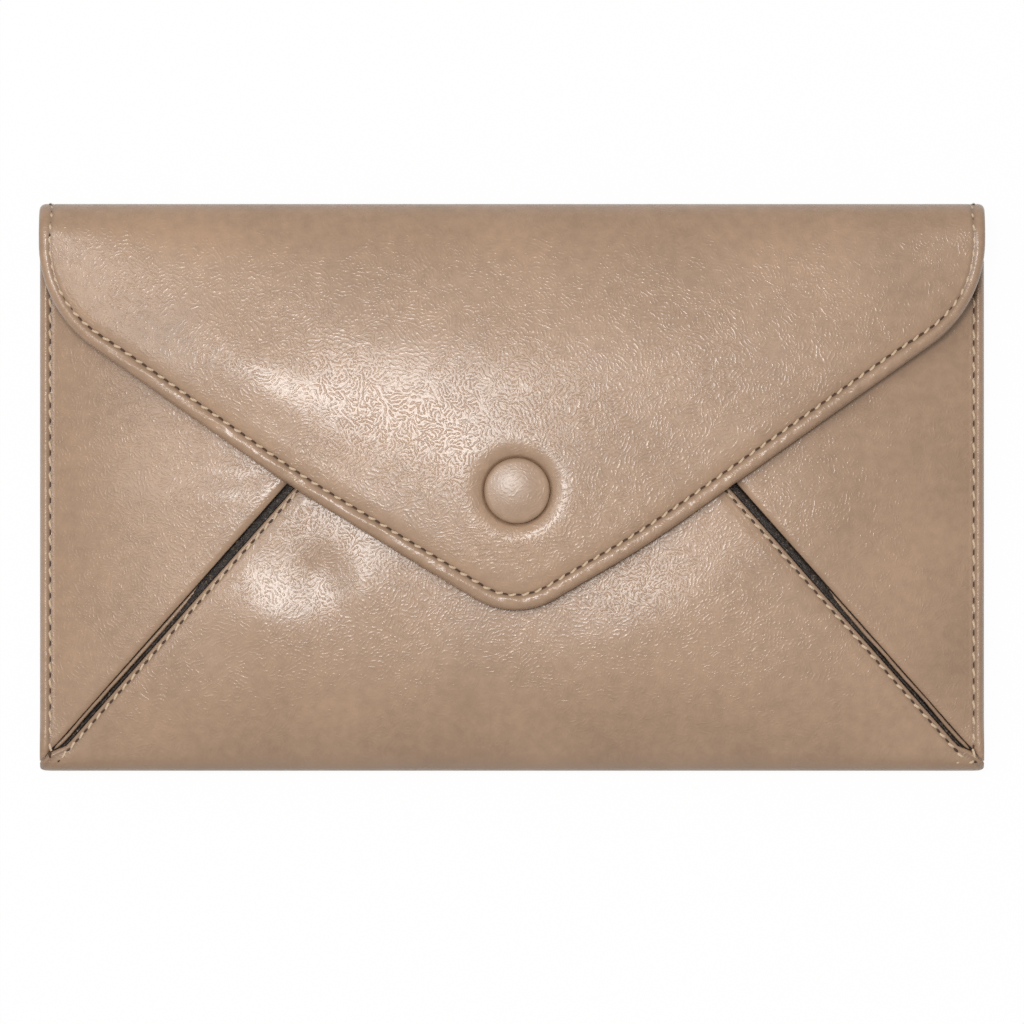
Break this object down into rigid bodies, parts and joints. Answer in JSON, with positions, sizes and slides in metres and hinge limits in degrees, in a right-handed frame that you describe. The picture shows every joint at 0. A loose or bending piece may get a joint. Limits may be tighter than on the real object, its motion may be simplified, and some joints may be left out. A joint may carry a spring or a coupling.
{
  "type": "clutch wallet",
  "caption": "Long leather envelope clutch wallet: pointed flap with a covered snap, gusseted front pocket, card slots, divider and zipped coin pocket.",
  "frame": {"origin": "centre of the resting face of the closed wallet lying on its back", "axes": "+X along the width, to the right as the flap faces the viewer; +Y from the bottom fold to the top fold; +Z out of the front through the snap"},
  "size_m": [0.192, 0.115, 0.0212],
  "materials": {
    "back_panel": "glazed crinkle-grain",
    "bottom_fold": "glazed crinkle-grain",
    "top_fold": "glazed crinkle-grain",
    "left_side_panel": "glazed crinkle-grain",
    "right_side_panel": "glazed crinkle-grain",
    "front_panel": "glazed crinkle-grain",
    "flap_panel": "glazed crinkle-grain",
    "snap_cap": "glazed",
    "left_welt": "glazed",
    "right_welt": "glazed",
    "left_gusset": "matt",
    "right_gusset": "matt",
    "back_stiffener": "pressed paper board",
    "flap_stiffener": "pressed paper board",
    "back_lining": "plain weave",
    "left_side_lining": "plain weave",
    "right_side_lining": "plain weave",
    "front_lining": "plain weave",
    "flap_lining": "plain weave",
    "top_fold_lining": "plain weave",
    "centre_divider": "plain weave",
    "card_slot_lower": "plain weave",
    "card_slot_upper": "plain weave",
    "coin_pocket_front": "plain weave",
    "coin_pocket_facing": "plain weave",
    "zip_tape_lower": "woven tape",
    "zip_tape_upper": "woven tape",
    "zip_teeth_lower": "bright",
    "zip_teeth_upper": "bright",
    "zip_stop_left": "bright",
    "zip_stop_right": "bright",
    "zip_slider": "polished",
    "zip_pull": "polished",
    "snap_stud": "polished",
    "snap_stud_rivet": "polished",
    "snap_socket": "polished",
    "snap_cap_shell": "bright"
  },
  "bodies": {
    "body": {"back_panel": "back_panel", "bottom_fold": "bottom_fold", "left_side_panel": "left_side_panel", "right_side_panel": "right_side_panel", "left_welt": "left_welt", "right_welt": "right_welt", "left_gusset": "left_gusset", "right_gusset": "right_gusset", "back_stiffener": "back_stiffener", "back_lining": "back_lining", "left_side_lining": "left_side_lining", "right_side_lining": "right_side_lining", "centre_divider": "centre_divider", "card_slot_lower": "card_slot_lower", "card_slot_upper": "card_slot_upper", "coin_pocket_front": "coin_pocket_front", "coin_pocket_facing": "coin_pocket_facing", "zip_tape_lower": "zip_tape_lower", "zip_tape_upper": "zip_tape_upper", "zip_teeth_lower": "zip_teeth_lower", "zip_teeth_upper": "zip_teeth_upper", "zip_stop_left": "zip_stop_left", "zip_stop_right": "zip_stop_right"},
    "spine": {"top_fold": "top_fold", "top_fold_lining": "top_fold_lining"},
    "flap": {"flap_panel": "flap_panel", "flap_stiffener": "flap_stiffener", "flap_lining": "flap_lining", "snap_cap": "snap_cap", "snap_cap_shell": "snap_cap_shell", "snap_socket": "snap_socket"},
    "front": {"front_panel": "front_panel", "front_lining": "front_lining", "snap_stud": "snap_stud", "snap_stud_rivet": "snap_stud_rivet"},
    "slider": {"zip_slider": "zip_slider", "zip_pull": "zip_pull"}
  },
  "joints": [
    {"name": "fold_lower", "type": "hinge", "parent": "body", "child": "spine", "pos_m": [0, 0.05685, 0.00065], "axis": [-1, 0, 0], "range_deg": [0, 85]},
    {"name": "fold_upper", "type": "hinge", "parent": "spine", "child": "flap", "pos_m": [0, 0.05685, 0.01295], "axis": [-1, 0, 0], "range_deg": [0, 85]},
    {"name": "front_lift", "type": "hinge", "parent": "body", "child": "front", "pos_m": [0, -0.0542, 0.00595], "axis": [1, 0, 0], "range_deg": [0, 8], "deforming": ["left_gusset", "right_gusset"]},
    {"name": "zip_slide", "type": "slide", "parent": "body", "child": "slider", "axis": [1, 0, 0], "range_m": [0, 0.1]}
  ],
  "couplings": [
    {"joint": "fold_upper", "follows": "fold_lower", "ratio": 1},
    {"joint": "front_lift", "follows": "fold_lower", "ratio": 0.094}
  ]
}
